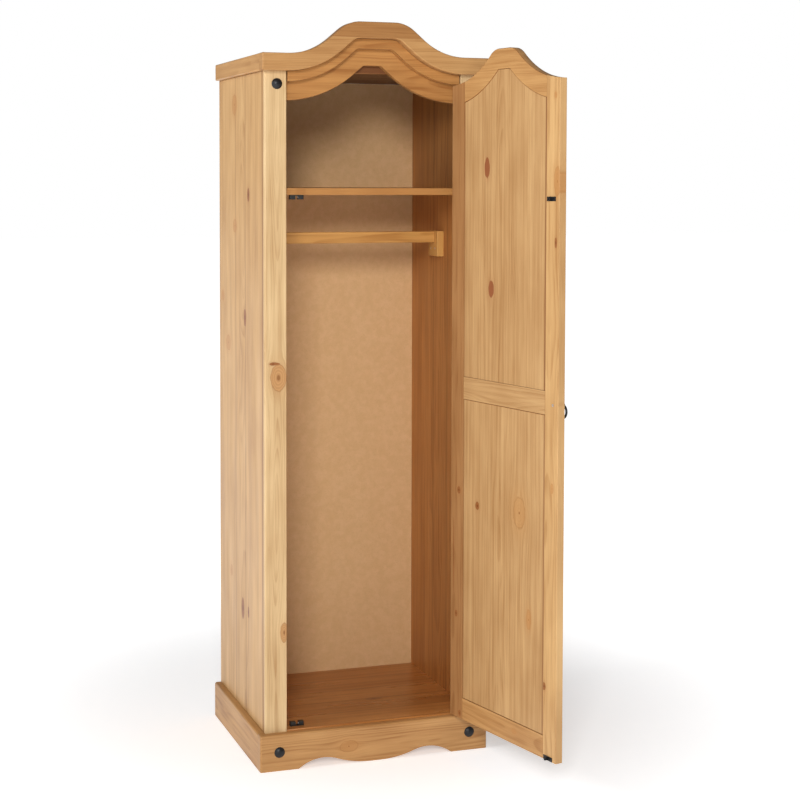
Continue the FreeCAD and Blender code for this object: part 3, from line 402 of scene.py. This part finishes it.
def hardboard():
    """Smooth pressed board, mottled by its fibres."""
    material, tree, place = plain_tree("hardboard")
    coarse = tree.noise(place, 55.0, 3.0, 0.6).outputs[0]
    fine = tree.noise(place, 420.0, 3.0, 0.7).outputs[0]
    broad = tree.noise(place, 4.0, 2.0).outputs[0]
    base = tree.mix(tree.step(coarse, 0.3, 0.75), rgb("d4ac7a"), rgb("dcb484"))
    base = tree.mix(tree.multiply(tree.step(fine, 0.5, 0.8), 0.35), base, rgb("a4784a"))
    base = tree.mix(tree.multiply(broad, 0.15), base, rgb("bc9060"))
    inputs = {
        "Base Color": base,
        "Roughness": tree.add(0.55, tree.multiply(fine, 0.15)),
        "Specular IOR Level": 0.3,
        "Normal": tree.bump(fine, 0.0001, 0.4),
    }
    finish_material(tree, inputs)
    return material


def black_iron():
    """Black lacquered iron with a lightly hammered surface, worn to grey on the high spots."""
    material, tree, place = plain_tree("black_iron")
    dents = tree.node("ShaderNodeTexVoronoi", {"Vector": place, "Scale": 230.0}).outputs["Distance"]
    grit = tree.noise(place, 900.0, 3.0).outputs[0]
    worn = tree.multiply(tree.step(grit, 0.55, 0.75), tree.step(dents, 0.5, 0.1))
    inputs = {
        "Base Color": tree.mix(tree.multiply(worn, 0.5), rgb("1c1d20"), rgb("4a4d53")),
        "Metallic": 0.35,
        "Roughness": tree.add(0.30, tree.multiply(grit, 0.25)),
        "Normal": tree.bump(tree.add(dents, tree.multiply(grit, 0.2)), 0.0006, 0.6),
    }
    finish_material(tree, inputs)
    return material


def black_plastic():
    """Moulded black plastic with a fine texture."""
    material, tree, place = plain_tree("black_plastic")
    grit = tree.noise(place, 1800.0, 3.0).outputs[0]
    broad = tree.noise(place, 90.0, 2.0).outputs[0]
    inputs = {
        "Base Color": tree.mix(broad, rgb("121110"), rgb("201e1c")),
        "Roughness": tree.add(0.3, tree.multiply(grit, 0.2)),
        "Normal": tree.bump(grit, 0.00008, 0.5),
    }
    finish_material(tree, inputs)
    return material


def steel(name, light, dark, roughness):
    """Plain steel with fine scratches."""
    material, tree, place = plain_tree(name)
    stretch = {0: place, 1: (300.0, 2600.0, 300.0)}
    scratch_at = tree.node("ShaderNodeVectorMath", stretch, operation="MULTIPLY")
    scratch = tree.noise(scratch_at.outputs[0], 1.0, 3.0).outputs[0]
    inputs = {
        "Base Color": tree.mix(scratch, rgb(dark), rgb(light)),
        "Metallic": 1.0,
        "Roughness": tree.add(roughness, tree.multiply(scratch, 0.15)),
        "Normal": tree.bump(scratch, 0.00003, 0.4),
    }
    finish_material(tree, inputs)
    return material


# ---------------------------------------------------------------- which board has which wood


SIDE_KNOTS = (
    (1682, -173, 26, 24, "ghost"),
    (1446, -319, 17, 11, "dark"),
    (1363, -176, 17, 20, "ghost"),
    (1128, -282, 21, 13, "dark"),
    (1047, -101, 20, 24, "ghost"),
    (1171, -40, 14, 14, "ghost"),
    (359, -254, 27, 14, "dark"),
    (362, -310, 14, 8, "dark"),
    (434, -132, 14, 12, "ghost"),
)
DOOR_UPPER_KNOTS = (
    (1515, -158, 24, 11, "red"),
    (1215, -178, 20, 11, "red"),
)
DOOR_LOWER_KNOTS = (
    (663, -121, 10, 8, "dark"),
    (675, -303, 38, 24, "swirl"),
    (421, -344, 24, 9, "ghost"),
)
LATCH_STILE_KNOTS = (
    (1684, -442, 7, 5, "ghost"),
    (1482, -450, 34, 12, "ghost"),
    (1338, -446, 12, 4, "dark"),
    (755, -437, 12, 6, "ghost"),
    (275, -411, 9, 6, "dark"),
)
HINGE_STILE_KNOTS = (
    (691, -38, 9, 7, "dark"),
    (518, -15, 90, 2, "dark"),
    (369, -27, 8, 6, "dark"),
    (112, -45, 7, 5, "dark"),
)

# A seam is (place across the board, width, how dark it shows, extra stain of the wood beyond it).
SIDE_SEAMS = ((-461, 9, 0.6, 0.0), (-288, 9, 0.3, 0.0), (-182, 9, 0.3, 0.0))
UPPER_SEAMS = (
    (-404, 5, 0.75, 0.0),
    (-330, 2, 0.0, 0.05),
    (-150, 3, 0.15, -0.1),
    (-90, 2, 0.0, 0.15),
    (-59, 3, 0.3, 0.0),
)
LOWER_SEAMS = ((-404, 5, 0.55, 0.0), (-310, 2, 0.0, -0.05), (-180, 3, 0.12, 0.1), (-59, 3, 0.3, 0.0))
FLOOR_SEAMS = ((-387, 3, 0.5, 0.2), (-293, 3, 0.4, -0.2), (-199, 3, 0.4, 0.25), (-105, 3, 0.4, -0.2))
# The cornice's crest, above this line, is drawn darker and more orange; the last number sets how much.
CREST_SEAM = ((1841, 3, 0.1, 0.7),)

WOODS = {
    "side_panel_left": dict(across="Y", tone="sand", seed=2.0, pith=-250.0, seams=SIDE_SEAMS,
                            knots=SIDE_KNOTS, contrast=0.42, streak=0.03),
    "side_panel_right": dict(across="Y", tone="rust", seed=5.0, pith=-200.0, seams=SIDE_SEAMS,
                             knots=((1300, -150, 16, 8, "dark"), (620, -330, 20, 9, "red")), contrast=0.5),
    "stile_left": dict(tone="pale", seed=8.0, pith=-262.0, depth=500.0, ring=3.2,
                       knots=((991, -252, 33, 20, "round"), (1026, -259, 4, 8, "dark"),
                              (346, -238, 24, 10, "round")), contrast=0.36),
    "stile_right": dict(tone="pale", seed=11.0, pith=262.0, depth=500.0, ring=3.2,
                        knots=((1200, 262, 20, 10, "round"),), contrast=0.36),
    "floor_panel": dict(along="X", across="Y", tone="rust", seed=14.0, pith=-230.0, seams=FLOOR_SEAMS,
                        contrast=0.6, knots=((60, -300, 22, 9, "dark"),), roughness=0.3),
    # The top panel's dark tone is painted shade: the shadow it lies in behind the door stop.
    "top_panel": dict(along="X", across="Y", tone="dark", seed=16.0, pith=-230.0, seams=FLOOR_SEAMS,
                      contrast=0.5, knots=((-120, -180, 20, 10, "red"),)),
    "shelf": dict(along="X", across="Y", tone="amber", seed=18.0, pith=-230.0, seams=FLOOR_SEAMS,
                  contrast=0.45, knots=((110, -250, 18, 8, "red"),)),
    "hanging_rail": dict(along="X", across="Z", tone="warm", seed=21.0, pith=1331.0, contrast=0.4),
    "rail_bracket_left": dict(tone="warm", across="Y", seed=23.0, pith=-224.0, contrast=0.4),
    "rail_bracket_right": dict(tone="warm", across="Y", seed=24.0, pith=-224.0, contrast=0.4),
    "arch_strip": dict(along="X", across="Z", tone="amber", seed=27.0, pith=1790.0, depth=560.0, ring=3.2,
                       contrast=0.45),
    "door_stop": dict(along="X", across="Z", tone="amber", seed=29.0, pith=1740.0, depth=560.0, ring=3.2,
                      contrast=0.5),
    "cornice_front": dict(along="X", across="Z", tone="honey", seed=31.0, seams=CREST_SEAM, pith=1830.0,
                          depth=580.0, ring=3.2, contrast=0.45),
    "cornice_left": dict(along="Y", across="Z", tone="honey", seed=33.0, pith=1775.0, contrast=0.42),
    "cornice_right": dict(along="Y", across="Z", tone="honey", seed=35.0, pith=1775.0, contrast=0.42),
    "plinth_front": dict(along="X", across="Z", tone="honey", seed=37.0, pith=60.0, depth=560.0, ring=3.6,
                         contrast=0.5, knots=((-73, 44, 24, 14, "swirl"),)),
    "plinth_left": dict(along="Y", across="Z", tone="honey", seed=39.0, pith=50.0, contrast=0.45),
    "plinth_right": dict(along="Y", across="Z", tone="honey", seed=41.0, pith=50.0, contrast=0.45),
    "plinth_rear": dict(along="X", across="Z", tone="bare", seed=43.0, pith=40.0, contrast=0.5,
                        roughness=0.6),
    "plinth_blocks": dict(tone="bare", seed=45.0, pith=0.0, contrast=0.5, roughness=0.6),
    "shelf_dowels": dict(along="X", across="Y", tone="bare", seed=47.0, ring=2.0, contrast=0.2,
                         roughness=0.6),
    "door_hinge_stile": dict(on_door=True, tone="umber", seed=51.0, pith=-30.0, contrast=0.4,
                             knots=HINGE_STILE_KNOTS),
    "door_latch_stile": dict(on_door=True, tone="sand", seed=53.0, pith=-430.0, contrast=0.4,
                             knots=LATCH_STILE_KNOTS),
    "door_top_rail": dict(on_door=True, along="X", across="Z", tone="honey", seed=55.0, pith=1780.0,
                          contrast=0.4),
    "door_mid_rail": dict(on_door=True, along="X", across="Z", tone="tan", seed=57.0, pith=950.0,
                          contrast=0.4),
    "door_bottom_rail": dict(on_door=True, along="X", across="Z", tone="honey", seed=59.0, pith=120.0,
                             contrast=0.4, knots=((-288, 131, 9, 6, "ghost"),)),
    "door_upper_panel": dict(on_door=True, tone="tan", seed=61.0, pith=-200.0, seams=UPPER_SEAMS,
                             knots=DOOR_UPPER_KNOTS, contrast=0.35, streak=0.11),
    "door_lower_panel": dict(on_door=True, tone="tan", seed=63.0, pith=-240.0, seams=LOWER_SEAMS,
                             knots=DOOR_LOWER_KNOTS, contrast=0.35, streak=0.11),
}


def dress_cad_nodes():
    """Gives every CAD node its material. A board's second one is for its arrises, which are darker partly
    from stain and partly from painted shade.
    """
    # The arris wood is darker than the boards: partly stain, partly painted shade along edges and in the
    # lines between parts.
    arris = pine("arris_stain_and_painted_shade", tone="edge", seed=71.0, contrast=0.3)
    iron, plastic, board = black_iron(), black_plastic(), hardboard()
    bright = steel("bright_steel", "eceef0", "b9bcc0", 0.35)
    dull = steel("dull_steel", "8b8a86", "5a5956", 0.35)
    for name, node in frame["nodes"].items():
        if name in WOODS:
            material = pine(name, **WOODS[name])
        elif name == "back_panel":
            material = board
        elif name in ("catch_upper_case", "catch_lower_case", "catch_caps"):
            material = plastic
        elif "_ball_" in name or name in ("catch_springs", "pull_screw", "bracket_screws"):
            material = bright
        elif name == "back_tacks":
            material = dull
        else:
            material = iron
        node.data.materials.clear()
        node.data.materials.append(material)
        if name in WOODS:
            node.data.materials.append(arris)


# Metres. Points closer than WELD_GAP become one, so that a round runs along the whole edge.
WELD_GAP = 0.00002
EDGE_ROUND = 0.001
SHARP_EDGE = math.radians(40)
ARRIS_SLOT = 1


def soften_edges():
    """A small round on the boards' sharp edges, with the arris material. Its darker colour is partly stain
    and partly painted shade.
    """
    for name in WOODS:
        node = frame["nodes"][name]
        weld = node.modifiers.new("weld", "WELD")
        weld.merge_threshold = WELD_GAP
        bevel = node.modifiers.new("edge", "BEVEL")
        bevel.width = EDGE_ROUND
        # The rounds take the darker arris wood: partly stain, partly painted shade.
        bevel.material = ARRIS_SLOT
        bevel.segments = 2
        bevel.limit_method = "ANGLE"
        bevel.angle_limit = SHARP_EDGE
        bevel.use_clamp_overlap = True
        bevel.harden_normals = True


# ---------------------------------------------------------------- studio


# The floor's edges in metres, in front of the object, behind it and to each side.
FLOOR_FRONT = -14.0
FLOOR_BACK = 40.0
FLOOR_HALF_WIDTH = 40.0

# The floor's own painted light under the object and far from it, and the distances between which it grows.
# The weaker glow near the object paints shade round it.
GLOW_NEAR = 0.37
GLOW_FAR = 0.85
GLOW_START = 0.4
GLOW_END = 1.7


def make_floor():
    """A pale floor that runs far back. It glows with painted light: less near the object, which paints shade
    round it, and more far off.
    """
    vertices = [(side * FLOOR_HALF_WIDTH, y, 0.0) for side in (-1, 1) for y in (FLOOR_FRONT, FLOOR_BACK)]
    mesh = bpy.data.meshes.new("studio_floor")
    mesh.from_pydata(vertices, [], [(0, 1, 3, 2)])
    mesh.shade_smooth()
    floor = bpy.data.objects.new("studio_floor", mesh)
    bpy.context.scene.collection.objects.link(floor)
    material, tree, place = plain_tree("studio_paper_painted_glow")
    grain = tree.noise(place, 30.0, 3.0).outputs[0]
    parts = tree.split(place)
    away = tree.length(parts["X"], parts["Y"])
    # Painted light: the floor glows, less near the object, which paints shade round it.
    glow = tree.add(GLOW_NEAR, tree.multiply(tree.step(away, GLOW_START, GLOW_END), GLOW_FAR - GLOW_NEAR))
    inputs = {
        "Base Color": tree.mix(grain, rgb("f1f2f4"), rgb("f8f9fb")),
        "Roughness": 0.9,
        "Specular IOR Level": 0.1,
        "Emission Color": (1.0, 1.0, 1.0, 1.0),
        "Emission Strength": glow,
    }
    finish_material(tree, inputs)
    floor.data.materials.append(material)


# The air's strength as a light. The camera sees it at full white.
AIR = 0.22
LIGHT_TARGET = Vector((0.0, -0.5, 0.95))


def area_light(name, place, side, power):
    """A square soft box aimed at the middle of the object. Metres and watts."""
    light = bpy.data.lights.new(name, "AREA")
    light.shape = "RECTANGLE"
    light.size = side
    light.size_y = side
    light.energy = power
    lamp = bpy.data.objects.new(name, light)
    lamp.location = place
    lamp.rotation_euler = (LIGHT_TARGET - Vector(place)).to_track_quat("-Z", "Y").to_euler()
    bpy.context.scene.collection.objects.link(lamp)


def make_lights():
    """A soft key from the left, a broad light behind the camera, and white air."""
    area_light("key", place=(-5.6, -0.9, 3.6), side=1.6, power=135.0)
    area_light("front", place=(-2.5, -7.0, 3.4), side=1.8, power=290.0)
    world = bpy.data.worlds.new("studio_air")
    world.use_nodes = True
    tree = Tree(world.node_tree)
    seen = tree.node("ShaderNodeLightPath").outputs["Is Camera Ray"]
    background = world.node_tree.nodes["Background"]
    background.inputs["Color"].default_value = (1.0, 1.0, 1.0, 1.0)
    tree.put(tree.add(AIR, tree.multiply(seen, 1.0 - AIR)), background.inputs["Strength"])
    bpy.context.scene.world = world


# Where the camera stands in metres, and how it is turned in degrees: yaw, pitch and roll.
CAMERA_PLACE = Vector((-1.3732, -4.6226, 1.4788))
CAMERA_TURN = (-19.19, -2.91, 0.14)
SENSOR_WIDTH = 36.0
FOCAL_LENGTH = 77.52
CAMERA_SHIFT = -0.1626


def make_camera():
    """Eye height, in front and to the left, turned a little to the right and down."""
    yaw, pitch, roll = (math.radians(angle) for angle in CAMERA_TURN)
    forward = Vector((-math.sin(yaw) * math.cos(pitch), math.cos(yaw) * math.cos(pitch), math.sin(pitch)))
    right = Vector((math.cos(yaw), math.sin(yaw), 0.0))
    up = right.cross(forward)
    rolled_right = math.cos(roll) * right + math.sin(roll) * up
    rolled_up = math.cos(roll) * up - math.sin(roll) * right
    turn = Matrix((rolled_right, rolled_up, -forward)).transposed()
    data = bpy.data.cameras.new("camera")
    data.sensor_width = SENSOR_WIDTH
    data.lens = FOCAL_LENGTH
    data.shift_y = CAMERA_SHIFT
    camera = bpy.data.objects.new("camera", data)
    camera.matrix_world = Matrix.Translation(CAMERA_PLACE) @ turn.to_4x4()
    bpy.context.scene.collection.objects.link(camera)
    bpy.context.scene.camera = camera


dress_cad_nodes()
soften_edges()
make_floor()
make_lights()
make_camera()
bpy.context.scene.view_settings.view_transform = "Standard"
